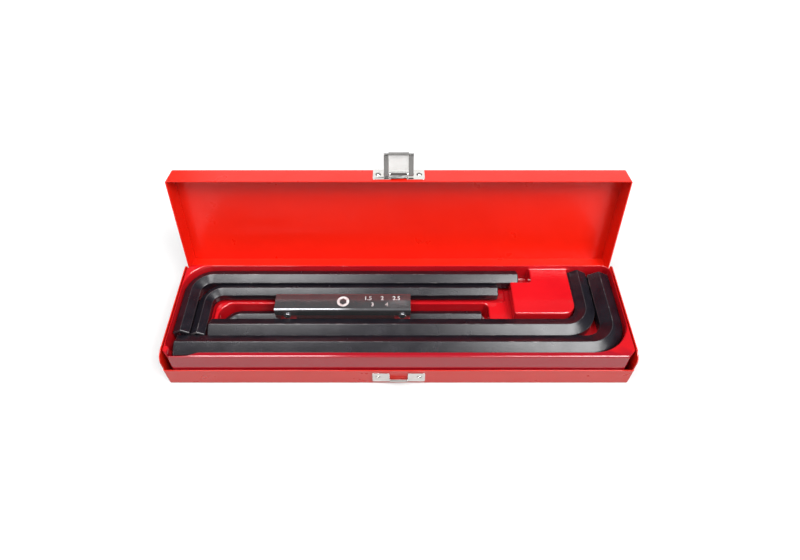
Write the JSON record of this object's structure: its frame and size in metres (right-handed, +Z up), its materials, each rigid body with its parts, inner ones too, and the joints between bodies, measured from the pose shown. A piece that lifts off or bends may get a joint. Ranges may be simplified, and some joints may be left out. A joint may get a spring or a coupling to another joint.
{
  "type": "hex key set in case",
  "caption": "Hinged sheet-steel case with a latch and a formed tray, holding loose L-shaped hex keys and a folding set of small hex keys.",
  "frame": {"origin": "middle of the case floor's underside, on the surface that the case stands on", "axes": "+Z up, +X along the case to the right seen from the latch side, -Y towards the latch side, lid hinged at +Y"},
  "size_m": [0.3926, 0.1429, 0.1447],
  "materials": {
    "red_enamel": "glossy stoved enamel",
    "red_plastic": "glossy vacuum-formed plastic",
    "black_oxide": "oiled black oxide",
    "bright_nickel": "bright nickel plate",
    "satin_nickel": "satin nickel plate",
    "plain_steel": "zinc plate"
  },
  "bodies": {
    "base": {"case_base": "red_enamel", "hinge_leaves_base": "red_enamel", "hinge_pins": "plain_steel", "hinge_rivets_base": "red_enamel", "lid_stops": "red_enamel", "keeper_plate": "bright_nickel", "keeper_rivets": "bright_nickel"},
    "lid": {"case_lid": "red_enamel", "hinge_leaves_lid": "red_enamel", "hinge_rivets_lid": "red_enamel", "latch_plate": "bright_nickel", "latch_pin": "bright_nickel", "latch_rivets": "bright_nickel"},
    "lever": {"latch_lever": "bright_nickel"},
    "tray": {"key_tray": "red_plastic"},
    "key_19": {"hex_key_19": "black_oxide"},
    "key_17": {"hex_key_17": "black_oxide"},
    "key_14": {"hex_key_14": "black_oxide"},
    "key_12": {"hex_key_12": "black_oxide"},
    "key_10": {"hex_key_10": "black_oxide"},
    "folding_set": {"folding_channel": "satin_nickel", "folding_pivot_screws": "satin_nickel", "folding_pivot_nuts": "satin_nickel", "folding_spacers": "satin_nickel"},
    "folding_key_4": {"small_key_4": "black_oxide"},
    "folding_key_3": {"small_key_3": "black_oxide"},
    "folding_key_2_5": {"small_key_2_5": "black_oxide"},
    "folding_key_2": {"small_key_2": "black_oxide"},
    "folding_key_1_5": {"small_key_1_5": "black_oxide"}
  },
  "joints": [
    {"name": "lid_hinge", "type": "hinge", "parent": "base", "child": "lid", "pos_m": [0, 0.0519, 0.0211], "axis": [-1, 0, 0], "range_deg": [-101, 0]},
    {"name": "latch_lever_pivot", "type": "hinge", "parent": "lid", "child": "lever", "pos_m": [0, 0.07735, 0.12373], "axis": [-1, 0, 0], "range_deg": [-88, 0]},
    {"name": "tray_lift", "type": "slide", "parent": "base", "child": "tray", "axis": [0, 0, 1], "range_m": [0, 0.05]},
    {"name": "key_14_lift", "type": "slide", "parent": "tray", "child": "key_14", "axis": [0, 0, 1], "range_m": [0, 0.06]},
    {"name": "key_12_lift", "type": "slide", "parent": "tray", "child": "key_12", "axis": [0, 0, 1], "range_m": [0, 0.06]},
    {"name": "key_10_lift", "type": "slide", "parent": "tray", "child": "key_10", "axis": [0, 0, 1], "range_m": [0, 0.03]},
    {"name": "key_19_lift", "type": "slide", "parent": "key_10", "child": "key_19", "axis": [0, 0, 1], "range_m": [0, 0.06]},
    {"name": "key_17_lift", "type": "slide", "parent": "key_10", "child": "key_17", "axis": [0, 0, 1], "range_m": [0, 0.06]},
    {"name": "folding_set_lift", "type": "slide", "parent": "key_10", "child": "folding_set", "axis": [0, 0, 1], "range_m": [0, 0.2]},
    {"name": "folding_key_4_pivot", "type": "hinge", "parent": "folding_set", "child": "folding_key_4", "pos_m": [-0.0973, 0.0097, 0.0272], "axis": [0, 1, 0], "range_deg": [0, 180]},
    {"name": "folding_key_3_pivot", "type": "hinge", "parent": "folding_set", "child": "folding_key_3", "pos_m": [0.003, 0.0097, 0.0272], "axis": [0, -1, 0], "range_deg": [0, 180]},
    {"name": "folding_key_2_5_pivot", "type": "hinge", "parent": "folding_set", "child": "folding_key_2_5", "pos_m": [-0.0973, 0.0097, 0.0272], "axis": [0, 1, 0], "range_deg": [0, 180]},
    {"name": "folding_key_2_pivot", "type": "hinge", "parent": "folding_set", "child": "folding_key_2", "pos_m": [0.003, 0.0097, 0.0272], "axis": [0, -1, 0], "range_deg": [0, 180]},
    {"name": "folding_key_1_5_pivot", "type": "hinge", "parent": "folding_set", "child": "folding_key_1_5", "pos_m": [-0.0973, 0.0097, 0.0272], "axis": [0, 1, 0], "range_deg": [0, 180]}
  ],
  "couplings": [
    {"joint": "folding_key_4_pivot", "follows": "folding_set_lift", "rad_per_m": 11},
    {"joint": "folding_key_3_pivot", "follows": "folding_set_lift", "rad_per_m": 11},
    {"joint": "folding_key_2_5_pivot", "follows": "folding_set_lift", "rad_per_m": 9},
    {"joint": "folding_key_2_pivot", "follows": "folding_set_lift", "rad_per_m": 8},
    {"joint": "folding_key_1_5_pivot", "follows": "folding_set_lift", "rad_per_m": 7}
  ]
}
